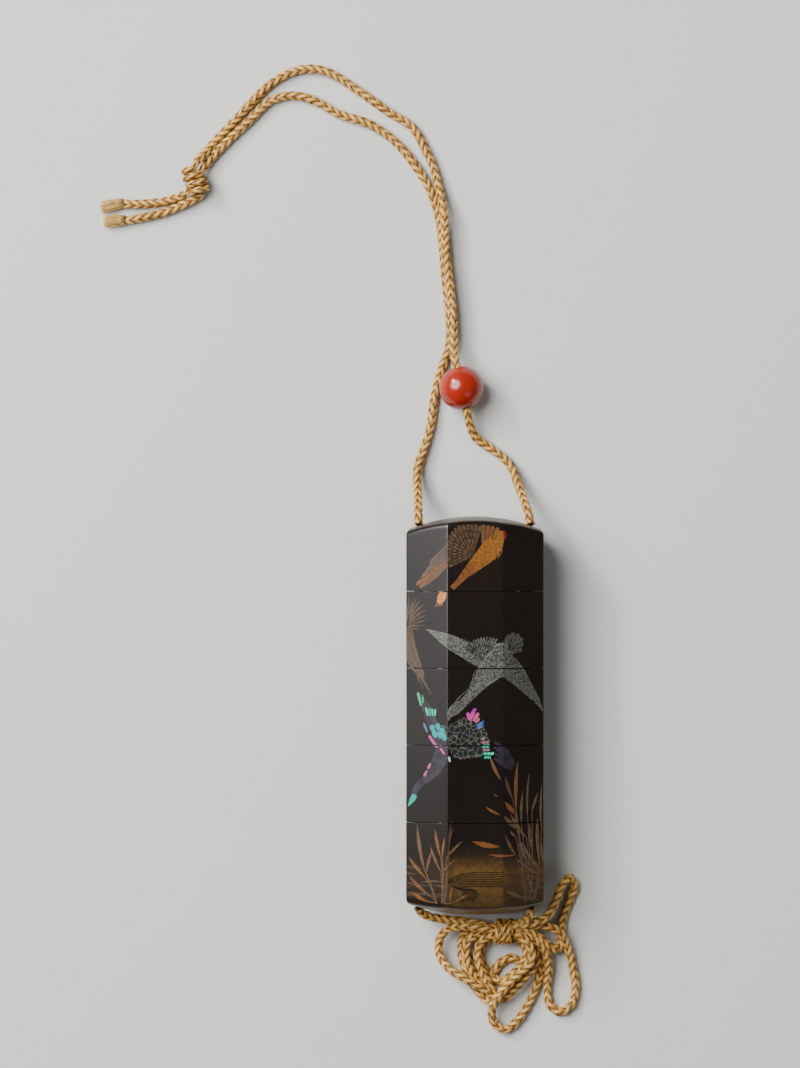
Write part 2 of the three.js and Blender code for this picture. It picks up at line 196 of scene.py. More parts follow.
def make_lights():
    world = bpy.data.worlds.new("studio")
    world.use_nodes = True
    background = world.node_tree.nodes["Background"]
    background.inputs["Color"].default_value = (1.0, 0.98, 0.96, 1)
    background.inputs["Strength"].default_value = 0.18
    bpy.context.scene.world = world
    area_light("overhead", (-0.62, 0.39, 0.96), (0, 0.03, 0), (0.95, 0.95), 27.5)
    area_light("lamp", (-0.75, 0.70, 0.62), (0, 0.03, 0), (0.2, 0.2), 6.5)
    area_light("side_panel", (-0.95, 0.24, 0.73), (0, 0.09, 0), (0.72, 0.4), 1.0)
    area_light("fill", (0.9, -0.8, 1.1), (0.05, -0.05, 0), (0.9, 0.9), 1.4)


make_camera()
make_floor()
make_lights()

# ---------------------------------------------------------------- node materials


class Nodes:
    """A small helper that builds one principled material."""

    def __init__(self, name):
        self.material = bpy.data.materials.new(name)
        self.material.use_nodes = True
        self.tree = self.material.node_tree
        self.shader = self.tree.nodes["Principled BSDF"]

    def node(self, kind, **settings):
        node = self.tree.nodes.new(kind)
        for key, value in settings.items():
            if key in node.inputs:
                node.inputs[key].default_value = value
            else:
                setattr(node, key, value)
        return node

    def link(self, source, target):
        self.tree.links.new(source, target)

    def ramp(self, source, stops):
        """Colours by place. A bare number stands for a grey."""
        node = self.tree.nodes.new("ShaderNodeValToRGB")
        ramp = node.color_ramp
        while len(ramp.elements) < len(stops):
            ramp.elements.new(0.5)
        for element, (place, colour) in zip(ramp.elements, stops):
            element.position = place
            element.color = (*(colour if isinstance(colour, tuple) else [colour] * 3), 1)
        self.link(source, node.inputs["Fac"])
        return node.outputs["Color"]

    def mix(self, factor, first, second, blend="MIX"):
        node = self.tree.nodes.new("ShaderNodeMix")
        node.data_type = "RGBA"
        node.blend_type = blend
        for value, socket in ((factor, node.inputs[0]), (first, node.inputs[6]),
                              (second, node.inputs[7])):
            if isinstance(value, bpy.types.NodeSocket):
                self.link(value, socket)
            else:
                socket.default_value = value if socket == node.inputs[0] else (*value, 1)
        return node.outputs[2]

    def math(self, operation, first, second):
        node = self.tree.nodes.new("ShaderNodeMath")
        node.operation = operation
        for value, socket in ((first, node.inputs[0]), (second, node.inputs[1])):
            if isinstance(value, bpy.types.NodeSocket):
                self.link(value, socket)
            else:
                socket.default_value = value
        return node.outputs[0]

    def noise(self, scale, detail=3.0, vector=None):
        node = self.node("ShaderNodeTexNoise", Scale=scale, Detail=detail)
        if vector is None:
            vector = self.node("ShaderNodeTexCoord").outputs["Object"]
        self.link(vector, node.inputs["Vector"])
        return node.outputs["Fac"]

    def attribute(self, name):
        return self.node("ShaderNodeAttribute", attribute_name=name).outputs["Fac"]

    def bump(self, height, distance, strength=1.0):
        node = self.node("ShaderNodeBump", Strength=strength, Distance=distance)
        self.link(height, node.inputs["Height"])
        self.link(node.outputs["Normal"], self.shader.inputs["Normal"])

    def finish(self, colour, **values):
        """Connects the colour, sets the named inputs and returns the material."""
        self.link(colour, self.shader.inputs["Base Color"])
        for key, value in values.items():
            self.shader.inputs[key.replace("_", " ")].default_value = value
        return self.material


def clouded(name, scale, detail, low, high, **finish):
    """A material that wanders between two tones, each given as its place and its colour."""
    m = Nodes(name)
    return m.finish(m.ramp(m.noise(scale, detail), [low, high]), **finish)


def silk_material():
    """Golden silk with painted shade: lighter on the strands' crests and darker brown where they dive
    under each other.
    """
    m = Nodes("silk_gold_painted_shade")
    # Painted shade: the strands' height over the cord's middle sets the colour, dark brown low between the
    # strands and light gold on their crests.
    body = m.ramp(m.attribute("painted_shade_height"), [
        (0.20, (0.075, 0.028, 0.004)), (0.56, (0.33, 0.160, 0.030)), (0.95, (0.72, 0.42, 0.100))])
    shade = m.ramp(m.noise(260, 2), [(0.3, (0.80, 0.76, 0.70)), (0.7, (1.06, 1.05, 1.04))])
    uv = m.node("ShaderNodeUVMap", uv_map="fibre").outputs["UV"]
    stretch = m.node("ShaderNodeMapping", Scale=(0.5, 9.0, 1.0))
    m.link(uv, stretch.inputs["Vector"])
    m.bump(m.noise(1.0, 2, stretch.outputs["Vector"]), 0.00008, 0.6)
    return m.finish(m.mix(1.0, body, shade, "MULTIPLY"), Roughness=0.38, Specular_IOR_Level=0.45)


def lacquer_material():
    """Black-brown lacquer, polished, with a gold haze low on the case and its edges worn brown."""
    m = Nodes("lacquer_black")
    ground = m.ramp(m.noise(35, 4), [
        (0.3, (0.0035, 0.0022, 0.0014)), (0.7, (0.0080, 0.0044, 0.0026))])
    wear = m.math("MULTIPLY", m.attribute("wear"), m.noise(420, 4))
    worn = m.ramp(wear, [(0.40, 0), (0.75, 1)])
    place = m.node("ShaderNodeSeparateXYZ")
    m.link(m.node("ShaderNodeTexCoord").outputs["Object"], place.inputs["Vector"])
    up = m.math("MULTIPLY", m.math("ADD", place.outputs["Y"], 0.050), 50.0)
    across = m.math("MULTIPLY", m.math("ADD", place.outputs["X"], 0.018), 30.0)
    haze = m.ramp(up, [
        (0.10, (0.022, 0.010, 0.003)), (0.30, (0.048, 0.026, 0.006)), (0.58, (0.085, 0.044, 0.010)),
        (0.68, (0.050, 0.025, 0.006)), (0.80, (0.012, 0.006, 0.002)), (0.95, 0)])
    haze = m.mix(1.0, haze, m.ramp(m.noise(900, 3), [(0.35, 0.75), (0.65, 1.2)]), "MULTIPLY")
    middle = m.ramp(across, [(0.28, 0.15), (0.40, 1), (0.72, 1), (0.80, 0.6)])
    ground = m.mix(1.0, ground, m.mix(middle, (0, 0, 0), haze), "ADD")
    m.link(m.ramp(m.noise(1200, 4), [(0.3, 0.14), (0.75, 0.17)]), m.shader.inputs["Roughness"])
    return m.finish(m.mix(worn, ground, (0.060, 0.030, 0.018)))


def gold_material():
    """Sprinkled gold, from dark brown through tan and gold to pale orange."""
    m = Nodes("picture_gold_leaf")
    tone = m.ramp(m.attribute("tint"), [
        (0.0, (0.008, 0.004, 0.002)), (0.25, (0.060, 0.035, 0.019)), (0.45, (0.090, 0.055, 0.031)),
        (0.65, (0.150, 0.052, 0.012)), (0.80, (0.20, 0.078, 0.013)), (1.0, (0.56, 0.18, 0.032))])
    grain = m.ramp(m.noise(1500, 3), [(0.30, (0.60, 0.58, 0.56)), (0.70, 1.25)])
    return m.finish(m.mix(1.0, tone, grain, "MULTIPLY"), Roughness=0.17)


def silver_material():
    """Tarnished silver, mottled grey."""
    m = Nodes("picture_silver_leaf")
    tone = m.ramp(m.attribute("tint"), [(0.2, (0.026, 0.028, 0.025)), (1.0, (0.115, 0.117, 0.105))])
    mottle = m.ramp(m.noise(2300, 3), [(0.36, 0.35), (0.62, (1.75, 1.75, 1.70))])
    return m.finish(m.mix(1.0, tone, mottle, "MULTIPLY"), Roughness=0.2)


def bright_shell_material():
    """Blue-green and pink shell."""
    m = Nodes("picture_bright_shell")
    play = m.math("ADD", m.attribute("tint"), m.math("MULTIPLY", m.noise(700, 2), 0.12))
    tone = m.ramp(m.math("SUBTRACT", play, 0.06), [
        (0.0, (0.050, 0.014, 0.16)), (0.12, (0.50, 0.03, 0.30)), (0.28, (0.26, 0.10, 0.085)),
        (0.40, (0.045, 0.09, 0.32)), (0.60, (0.001, 0.26, 0.27)), (0.78, (0.001, 0.36, 0.12)),
        (0.90, (0.05, 0.50, 0.32)), (1.0, (0.30, 0.48, 0.62))])
    return m.finish(tone, Roughness=0.18)


def dark_shell_material():
    """Shell seen from its dark side. From a tint of 0.4 up it is in small pieces with pale joints."""
    m = Nodes("picture_dark_shell")
    cells = m.node("ShaderNodeTexVoronoi", feature="DISTANCE_TO_EDGE", Scale=760.0)
    m.link(m.node("ShaderNodeTexCoord").outputs["Object"], cells.inputs["Vector"])
    joint = m.ramp(cells.outputs["Distance"], [
        (0.02, (0.085, 0.08, 0.062)), (0.075, (0.008, 0.011, 0.012))])
    plain = m.ramp(m.noise(420, 2), [(0.35, (0.008, 0.009, 0.012)), (0.65, (0.030, 0.020, 0.034))])
    pieced = m.math("GREATER_THAN", m.attribute("tint"), 0.4)
    return m.finish(m.mix(pieced, plain, joint), Roughness=0.22)


SILK = silk_material()
SILK_ENDS = clouded("silk_frayed", 900, 3, (0.3, (0.46, 0.25, 0.060)), (0.7, (0.82, 0.56, 0.20)),
                    Roughness=0.6)
CORAL = clouded("coral", 120, 3, (0.35, (0.26, 0.0080, 0.0015)), (0.65, (0.34, 0.018, 0.0035)),
                Roughness=0.2, Specular_IOR_Level=0.6)
LACQUER = lacquer_material()
# gold-flecked, for the sections' insides
INSIDE = clouded("lacquer_inside", 1500, 2, (0.55, (0.030, 0.014, 0.006)), (0.68, (0.34, 0.20, 0.06)),
                 Roughness=0.3)
# rubbed dull, for the rounded ends
DULL = clouded("lacquer_ends", 300, 4, (0.3, (0.022, 0.014, 0.009)), (0.7, (0.050, 0.032, 0.022)),
               Roughness=0.34, Specular_IOR_Level=0.3)
GOLD = gold_material()
SILVER = silver_material()
BRIGHT_SHELL = bright_shell_material()
DARK_SHELL = dark_shell_material()
RED = clouded("picture_red_lacquer", 900, 2, (0.3, (0.12, 0.006, 0.018)), (0.7, (0.26, 0.012, 0.035)),
              Roughness=0.2)

# ---------------------------------------------------------------- the braided cord

BRAID_PITCH = 9.2  # one turn of a strand round the cord
BRAID_RADIUS = 0.70  # of the strands' middle lines
BRAID_WAVE = 0.19  # how far a strand rises over and dives under the others
BRAID_STRANDS = 8
STRAND_WIDTH = 1.02
STRAND_THICK = 0.62
STRAND_SIDES = 7
BRAID_STEP = 0.36
BRAID_TWIST = 2 * math.pi / 64  # the whole cord turns slowly as it lies
CURVE_SAMPLES = 24


def unit(vectors):
    return vectors / np.linalg.norm(vectors, axis=-1, keepdims=True)


def lengths_along(line):
    """How far along a line each of its points lies."""
    return np.concatenate([[0], np.cumsum(np.linalg.norm(np.diff(line, axis=0), axis=1))])


def store(mesh, name, domain, values):
    layer = mesh.attributes.new(name, "FLOAT", domain)
    layer.data.foreach_set("value", np.asarray(values, np.float32))


def smooth_line(points, step=BRAID_STEP):
    """Evenly spaced points on the centripetal Catmull-Rom curve through the given ones."""
    p = np.array(points, float)
    p = np.vstack([2 * p[0] - p[1], p, 2 * p[-1] - p[-2]])
    line = []
    for a, b, c, d in zip(p, p[1:], p[2:], p[3:]):
        gaps = [math.sqrt(np.linalg.norm(v)) or 1e-6 for v in (b - a, c - b, d - c)]
        start = ((b - a) / gaps[0] - (c - a) / (gaps[0] + gaps[1]) + (c - b) / gaps[1]) * gaps[1]
        end = ((c - b) / gaps[1] - (d - b) / (gaps[1] + gaps[2]) + (d - c) / gaps[2]) * gaps[1]
        t = np.linspace(0, 1, CURVE_SAMPLES, endpoint=False)[:, None]
        line.append(b + start * t + (3 * (c - b) - 2 * start - end) * t**2
                    + (2 * (b - c) + start + end) * t**3)
    line = np.vstack(line + [p[-2][None]])
    run = lengths_along(line)
    count = max(2, round(run[-1] / step))
    places = np.linspace(0, run[-1], count + 1)
    return np.stack([np.interp(places, run, line[:, k]) for k in range(3)], 1)


def line_frames(line):
    """Directions along a line and two across it that don't twist."""
    along = unit(np.gradient(line, axis=0))
    across = np.zeros_like(line)
    first = np.cross(along[0], (0, 0, 1.0))
    if np.linalg.norm(first) < 0.1:
        first = np.cross(along[0], (0, 1.0, 0))
    across[0] = unit(first)
    for i in range(1, len(line)):
        across[i] = unit(across[i - 1] - along[i] * np.dot(across[i - 1], along[i]))
    return along, across, np.cross(along, across)


def tube_faces(rings, sides):
    """Quads round a tube and a polygon over each of its ends."""
    ring = np.arange(rings - 1)[:, None] * sides
    k = np.arange(sides)[None]
    n = (k + 1) % sides
    quads = np.stack([ring + k, ring + n, ring + sides + n, ring + sides + k], -1)
    faces = quads.reshape(-1, 4).tolist()
    faces.append(list(range(sides))[::-1])
    faces.append(list(range((rings - 1) * sides, rings * sides)))
    return faces


def link_mesh(name, points, faces, material, smooth=True):
    mesh = bpy.data.meshes.new(name)
    mesh.from_pydata((np.asarray(points) * MM).tolist(), [], faces)
    mesh.materials.append(material)
    if smooth:
        mesh.polygons.foreach_set("use_smooth", [True] * len(mesh.polygons))
    mesh.update()
    piece = bpy.data.objects.new(name, mesh)
    bpy.context.scene.collection.objects.link(piece)
    return piece


def braid(name, points, scale=None):
    """A round braid of eight strands. Half wind each way, and a strand's height over the cord's
    middle depends on its place round the cord, which lines its stitches up in columns."""
    line = smooth_line(points)
    along, across, up = line_frames(line)
    size = np.ones(len(line)) if scale is None else scale(line)
    run = lengths_along(line)
    each_way = BRAID_STRANDS // 2
    around = np.arange(STRAND_SIDES) / STRAND_SIDES * 2 * math.pi
    outline = np.stack([STRAND_WIDTH / 2 * np.cos(around), STRAND_THICK / 2 * np.sin(around)], 1)
    points, faces, painted_shade_height, fibre = [], [], [], []
    for k in range(BRAID_STRANDS):
        way = 1 if k % 2 else -1
        angle = way * 2 * math.pi * run / BRAID_PITCH + (k // 2) * 2 * math.pi / each_way
        turn = angle + BRAID_TWIST * run
        out = across * np.cos(turn)[:, None] + up * np.sin(turn)[:, None]
        radius = (BRAID_RADIUS + way * BRAID_WAVE * np.cos(each_way / 2 * angle)) * size
        middle = line + out * radius[:, None]
        wide = unit(np.cross(unit(np.gradient(middle, axis=0)), out))
        ring = (middle[:, None] + wide[:, None] * outline[None, :, :1] * size[:, None, None]
                + out[:, None] * outline[None, :, 1:] * size[:, None, None])
        base = len(points) * STRAND_SIDES * len(line)
        faces += [[v + base for v in face] for face in tube_faces(len(line), STRAND_SIDES)]
        points.append(ring.reshape(-1, 3))
        # The strand's height over the cord's middle, stored for the silk's painted shade: darker low down
        # between strands, lighter on top.
        height = radius[:, None] / size[:, None] + outline[None, :, 1]
        low, high = BRAID_RADIUS - BRAID_WAVE, BRAID_RADIUS + BRAID_WAVE + STRAND_THICK / 2
        painted_shade_height.append(((height - low) / (high - low)).reshape(-1))
        fibre.append(np.stack(np.broadcast_arrays(run[:, None] + 17 * k,
                                                  around[None] / (2 * math.pi)), -1).reshape(-1, 2))
    piece = link_mesh(name, np.vstack(points), faces, SILK)
    mesh = piece.data
    store(mesh, "painted_shade_height", "POINT", np.concatenate(painted_shade_height))
    corners = np.zeros(len(mesh.loops), np.int32)
    mesh.loops.foreach_get("vertex_index", corners)
    layer = mesh.uv_layers.new(name="fibre")
    layer.data.foreach_set("uv", np.vstack(fibre)[corners].astype(np.float32).ravel())
    return piece, line, float(run[-1])


def coil(centre, axis_angle, ring, stretch, start, turns, low, high, count, lean=0.0):
    """Turns of cord round an axis that lies level, from one place on the axis to another. The turns'
    radius is ring(t), with t from 0 to 1, and lean slants them."""
    along = np.array([math.cos(axis_angle), math.sin(axis_angle), 0])
    side = np.array([-along[1], along[0], 0])
    points = []
    for i in range(count + 1):
        t = i / count
        angle = start + turns * 2 * math.pi * t
        place = low + (high - low) * t + lean * math.cos(angle)
        rise = np.array([0, 0, stretch * ring(t) * math.sin(angle)])
        points.append(tuple(centre + along * place + side * ring(t) * math.cos(angle) + rise))
    return points


def turn_back(points):
    return list(reversed(points))


# ---------------------------------------------------------------- the case

SEAMS = (30.7, 11.8, -7.1, -26.1)
SEAM_GAP = 0.2  # narrower than the frame's, which keeps its solids apart
FIT_GAP = 0.3
LID_DOME = (43, 47)
BASE_DOME = (54, 41)
EDGE_ROUND = 0.8
CORNER_ROUND = 0.22
RIM_ROUND = 0.012
CROWN_RINGS = (0.94, 0.82, 0.66, 0.48, 0.3, 0.12)
OUTER_CORNERS = [2, 3, 6, 7]
WEAR_REACH = 0.5  # how far wear spreads from an outer corner
RIM_WEAR, RIM_WEAR_REACH = 0.55, 0.4
DULL_END = 6  # how far the dull ends reach down the case
DULL_SLOPE = 0.75
CAVITY_HALF_WIDTH = 10.4
CAVITY_HALF_DEPTH = 8.2
CAVITY_CORNER = 3.0
LIP_WALL = 0.9
LIP_HEIGHT = 4.3
RECESS_DEPTH = LIP_HEIGHT + FIT_GAP
FLOOR_THICK = 1.4
LID_CEILING = 46
BASE_FLOOR = -46.2
CHANNEL_RADIUS = 1.22
EDGE_STRIP = 0.6  # facets are divided this close to their edges, so that only those look round


def section_corners(inset):
    """The eight-sided section's corners, the front's two first."""
    half_width, flat, side = CASE_WIDTH / 2, FLAT_WIDTH / 2, SIDE_DEPTH / 2
    tilt = math.atan2(MID_Z - side, half_width - flat)
    front = (flat - inset * math.tan(tilt / 2), MID_Z - inset)
    edge = (half_width - inset, side - inset * math.tan((math.pi / 2 - tilt) / 2))
    (a, b), (c, d) = front, edge
    return np.array([(a, b), (-a, b), (-c, d), (-c, -d), (-a, -b), (a, -b), (c, -d), (c, d)])


def section_ring(inset):
    """Points round the eight-sided section, with its corners rounded off."""
    corners = section_corners(inset)
    ring = []
    for i, corner in enumerate(corners):
        before, after = corners[i - 1], corners[(i + 1) % 8]
        leave, go = unit(before - corner), unit(after - corner)
        turn = math.pi - math.acos(np.clip(np.dot(leave, go), -1, 1))
        cut = CORNER_ROUND * math.tan(turn / 2)
        a, b = corner + leave * cut, corner + go * cut
        for t in (0, 0.25, 0.5, 0.75, 1):
            ring.append((1 - t) ** 2 * a + 2 * t * (1 - t) * corner + t * t * b)
        length = np.linalg.norm(after - corner)
        pieces = 9 if i in (0, 4) else 7  # front and back are the widest
        places = np.linspace(EDGE_STRIP, length - EDGE_STRIP, pieces)
        ring += [corner + go * place for place in places]
    return np.array(ring)


def dome_fall(dome, x, z):
    radius, depth_radius = dome
    return radius * (1 - np.sqrt(1 - (x / radius) ** 2 - (z / depth_radius) ** 2))


def loft(rings, start_y, end_y):
    """A closed body through rings of points, fanned to a middle point at either end."""
    count = len(rings[0])
    points = [(0, start_y, MID_Z)]
    for ring in rings:
        points += [(x, y, z + MID_Z) for x, y, z in ring]
    points.append((0, end_y, MID_Z))
    faces, last = [], len(points) - 1
    for k in range(count):
        n = (k + 1) % count
        faces.append((0, 1 + k, 1 + n))
        for ring in range(len(rings) - 1):
            low, high = 1 + ring * count, 1 + (ring + 1) * count
            faces.append((low + k, high + k, high + n, low + n))
        faces.append((last, last - count + n, last - count + k))
    return points, faces


def rim_rings(edge, way):
    """From a section's rim, a little rounded, up or down its straight wall."""
    steps = ((RIM_ROUND, 0), (RIM_ROUND * 0.3, RIM_ROUND * 0.3), (0, RIM_ROUND), (0, 4 * RIM_ROUND),
             (0, EDGE_STRIP))
    return [[(x, edge + way * rise, z) for x, z in section_ring(inset)] for inset, rise in steps]


def domed_rings(flat_y, crown_y, dome):
    way = 1 if crown_y > flat_y else -1
    rings = rim_rings(flat_y, way)
    for step in range(8):
        angle = step / 7 * math.pi / 2
        inset, drop = EDGE_ROUND * (1 - math.cos(angle)), EDGE_ROUND * (1 - math.sin(angle))
        ring = section_ring(inset)
        ys = crown_y - way * (dome_fall(dome, ring[:, 0], ring[:, 1]) + drop)
        if step == 0:
            rings.append([(x, y - way * EDGE_STRIP, z) for (x, z), y in zip(ring, ys)])
        rings.append([(x, y, z) for (x, z), y in zip(ring, ys)])
    for scale in CROWN_RINGS:
        ring = section_ring(EDGE_ROUND) * scale
        ys = crown_y - way * dome_fall(dome, ring[:, 0], ring[:, 1])
        rings.append([(x, y, z) for (x, z), y in zip(ring, ys)])
    return rings


def rounded_prism(grow, low, high):
    """A body with the compartments' rounded-oblong shape, grown all round."""
    w, d, r = CAVITY_HALF_WIDTH + grow, CAVITY_HALF_DEPTH + grow, CAVITY_CORNER + grow
    ring = []
    for sx, sz, start in ((1, 1, 0), (-1, 1, 90), (-1, -1, 180), (1, -1, 270)):
        for step in range(9):
            angle = math.radians(start + 90 * step / 8)
            ring.append((sx * (w - r) + r * math.cos(angle), sz * (d - r) + r * math.sin(angle)))
    rings = [[(x, y, z) for x, z in ring] for y in (low, high)]
    return loft(rings, low, high)


def channel_bore(x):
    ring = [(x + CHANNEL_RADIUS * math.cos(a), CHANNEL_RADIUS * math.sin(a))
            for a in np.linspace(0, 2 * math.pi, 24, endpoint=False)]
    rings = [[(u, y, w) for u, w in ring] for y in (-CASE_LENGTH, CASE_LENGTH)]
    points, faces = loft(rings, -CASE_LENGTH, CASE_LENGTH)
    points[0], points[-1] = (x, -CASE_LENGTH, MID_Z), (x, CASE_LENGTH, MID_Z)
    return points, faces


def fix_outward(mesh):
    work = bmesh.new()
    work.from_mesh(mesh)
    bmesh.ops.recalc_face_normals(work, faces=work.faces)
    work.to_mesh(mesh)
    work.free()


def cut_and_join(piece, steps):
    """Joins and cuts bodies in turn and keeps the result as the piece's own mesh."""
    tools = []
    for operation, (points, faces), material in steps:
        tool = link_mesh("tool", points, faces, material, smooth=False)
        fix_outward(tool.data)
        modifier = piece.modifiers.new("step", "BOOLEAN")
        modifier.operation = operation
        modifier.object = tool
        modifier.solver = "EXACT"
        modifier.material_mode = "TRANSFER"
        tools.append(tool)
    graph = bpy.context.evaluated_depsgraph_get()
    mesh = bpy.data.meshes.new_from_object(piece.evaluated_get(graph))
    piece.modifiers.clear()
    piece.data = mesh
    for tool in tools:
        bpy.data.objects.remove(tool)


def mark_wear(mesh, edges):
    """Up to 1 along the section's outer corners, about half along the rims, and 0 elsewhere."""
    co = np.zeros(len(mesh.vertices) * 3, np.float32)
    mesh.vertices.foreach_get("co", co)
    x, y, z = co.reshape(-1, 3).T / MM
    near = np.min([np.hypot(x - cx, z - MID_Z - cz) for cx, cz in section_corners(0)[OUTER_CORNERS]], 0)
    wear = np.clip(1.15 - near / WEAR_REACH, 0, 1)
    for edge in edges:
        wear = np.maximum(wear, RIM_WEAR * np.clip(1.15 - np.abs(y - edge) / RIM_WEAR_REACH, 0, 1))
    store(mesh, "wear", "POINT", wear)


def dull_ends(mesh):
    """The faces of the rounded ends, apart from their glossy edge, get the duller lacquer."""
    mesh.materials.append(DULL)
    for face in mesh.polygons:
        y = face.center.y
        if abs(y) > (CASE_LENGTH / 2 - DULL_END) * MM and math.copysign(1, y) * face.normal.y > DULL_SLOPE:
            face.material_index = len(mesh.materials) - 1


def case_piece(name, rings, start_y, end_y, floor_y, ceiling_y, lip_from=None, recess_from=None):
    points, faces = loft(rings, start_y, end_y)
    piece = link_mesh(f"{name}_body", points, faces, LACQUER)
    fix_outward(piece.data)
    steps = []
    if lip_from is not None:
        lip = rounded_prism(LIP_WALL, lip_from - 1, lip_from + LIP_HEIGHT)
        steps.append(("UNION", lip, LACQUER))
    if recess_from is not None:
        recess = rounded_prism(LIP_WALL + FIT_GAP, recess_from - 1, recess_from + RECESS_DEPTH)
        steps.append(("DIFFERENCE", recess, LACQUER))
    steps.append(("DIFFERENCE", rounded_prism(0, floor_y, ceiling_y), INSIDE))
    steps += [("DIFFERENCE", channel_bore(x), LACQUER) for x in (-CHANNEL_X, CHANNEL_X)]
    cut_and_join(piece, steps)
    mesh = piece.data
    mesh.polygons.foreach_set("use_smooth", [True] * len(mesh.polygons))
    mesh.set_sharp_from_angle(angle=math.radians(35))
    mark_wear(mesh, (start_y, end_y))
    dull_ends(mesh)
    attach(piece, "root")
    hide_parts(name)
    return piece


def build_case():
    low = SEAMS[0] + SEAM_GAP / 2
    crown = CASE_LENGTH / 2
    case_piece("lid", domed_rings(low, crown, LID_DOME), low, crown, low - 1, LID_CEILING,
               recess_from=low)
    for i, seam in enumerate(SEAMS):
        high = seam - SEAM_GAP / 2
        if i == len(SEAMS) - 1:
            case_piece(f"case_{i + 1}", domed_rings(high, -crown, BASE_DOME), high, -crown,
                       BASE_FLOOR, high + LIP_HEIGHT + 1, lip_from=high)
            continue
        low = SEAMS[i + 1] + SEAM_GAP / 2
        wall = rim_rings(low, 1) + rim_rings(high, -1)[::-1]
        case_piece(f"case_{i + 1}", wall, low, high,
                   low + RECESS_DEPTH + FLOOR_THICK, high + LIP_HEIGHT + 1,
                   lip_from=high, recess_from=low)


build_case()

# ---------------------------------------------------------------- pictures on the lacquer

PLATE_DEPTH = 0.05  # how deep a plate of the picture sits in the lacquer
PLATE_MARGIN = 0.1  # bare lacquer beside the rounded ends
SEAM_MARGIN = 0.05  # and beside the seams
LINE_WIDTH = 0.13
WATER_LINE = 0.19


def facet_path(out):
    """Half of the section's outline, from the front's middle round to the back's."""
    corners = section_corners(-out)
    (a, b), (c, d) = corners[0], corners[7]
    return np.array([(0, b), (a, b), (c, d), (c, -d), (a, -b), (0, -b)])


FOLDS = lengths_along(facet_path(0))


def on_case(flat, out):
    """Places on the case for points of its unrolled wall: round from the front's middle, and up."""
    path, around = facet_path(out), np.abs(flat[:, 0])
    x = np.interp(around, FOLDS, path[:, 0]) * np.sign(flat[:, 0])
    z = np.interp(around, FOLDS, path[:, 1]) + MID_Z
    return np.stack([x, flat[:, 1], z], 1)


def bare_areas():
    """The parts of the unrolled wall without a picture: the seams and the rounded ends."""
    wide, half = FOLDS[-1], SEAM_GAP / 2 + SEAM_MARGIN
    around = np.linspace(-wide, wide, 121)
    spots = on_case(np.stack([around, 0 * around], 1), 0)
    areas = []
    for way, dome in ((1, LID_DOME), (-1, BASE_DOME)):
        fall = dome_fall(dome, spots[:, 0], spots[:, 2] - MID_Z)
        edge = way * (CASE_LENGTH / 2 - fall - EDGE_ROUND - PLATE_MARGIN)
        far = way * CASE_LENGTH
        areas.append(list(zip(around, edge)) + [(wide, far), (-wide, far)])
    for seam in SEAMS:
        areas.append([(-wide, seam - half), (wide, seam - half), (wide, seam + half),
                      (-wide, seam + half)])
    return areas


class Picture:
    """Thin plates of one material, let into the case's wall. Later shapes lie over earlier ones,
    and a cut leaves the lacquer bare."""

    def __init__(self, seed):
        self.shapes, self.tints, self.cuts = [], [], []
        self.rng = np.random.default_rng(seed)

    def add(self, outlines, low, high=None):
        for outline in outlines:
            self.shapes.append(outline)
            self.tints.append(low if high is None else self.rng.uniform(low, high))

    def cut_out(self):
        """The unrolled wall's points and triangles that show a shape, and each triangle's tint."""
        points, edges, faces = [], [], []
        for outline in self.shapes + self.cuts + bare_areas():
            outline = np.asarray(outline, float)
            x, y = outline.T
            if np.dot(x, np.roll(y, -1)) < np.dot(y, np.roll(x, -1)):
                outline = outline[::-1]
            faces.append(list(range(len(points), len(points) + len(outline))))
            points += [Vector(p) for p in outline.tolist()]
        for fold in np.concatenate([FOLDS[1:-1], -FOLDS[1:-1]]).tolist():
            edges.append((len(points), len(points) + 1))
            points += [Vector((fold, -CASE_LENGTH)), Vector((fold, CASE_LENGTH))]
        flat, _, triangles, _, _, origins = delaunay_2d_cdt(points, edges, faces, 0, 1e-4)
        shown = [(triangle, max(origin)) for triangle, origin in zip(triangles, origins)
                 if origin and max(origin) < len(self.shapes)]
        used = sorted({v for triangle, _ in shown for v in triangle})
        place = {v: i for i, v in enumerate(used)}
        flat = np.array([flat[v][:] for v in used])
        kept = [[place[v] for v in triangle] for triangle, _ in shown]
        return flat, kept, [self.tints[top] for _, top in shown]

    def build(self, name, material, slot, proud):
        """Plates that stand this far proud of the wall, closed round their sides and underneath."""
        flat, kept, tints = self.cut_out()
        body = np.vstack([on_case(flat, proud), on_case(flat, -PLATE_DEPTH)])
        under = len(flat)
        sides = {(t[i], t[(i + 1) % 3]): tint for t, tint in zip(kept, tints) for i in range(3)}
        walls = [(edge, tint) for edge, tint in sides.items() if edge[::-1] not in sides]
        faces = kept + [[v + under for v in reversed(t)] for t in kept]
        faces += [[a, a + under, b + under, b] for (a, b), _ in walls]
        piece = link_mesh(name, body, faces, material, smooth=False)
        store(piece.data, "tint", "FACE", tints + tints + [tint for _, tint in walls])
        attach(piece, "root")


def limb(points, step=0.3):
    """An outline along a smooth line. Each point is (round, up, half width)."""
    line = smooth_line(points, step)
    along = unit(np.gradient(line[:, :2], axis=0))
    side = np.stack([-along[:, 1], along[:, 0]], 1) * np.maximum(line[:, 2:], 0.02)
    return np.vstack([line[:, :2] + side, (line[:, :2] - side)[::-1]])


def stroke(points, width=LINE_WIDTH):
    return limb([(x, y, width / 2) for x, y in points], 0.2)


POINTED_TIP = ((0, 0.1), (0.25, 0.36), (0.55, 0.5), (0.8, 0.3), (1, 0.03))
ROUND_TIP = ((0, 0.3), (0.3, 0.42), (0.7, 0.5), (0.93, 0.4), (1, 0.14))


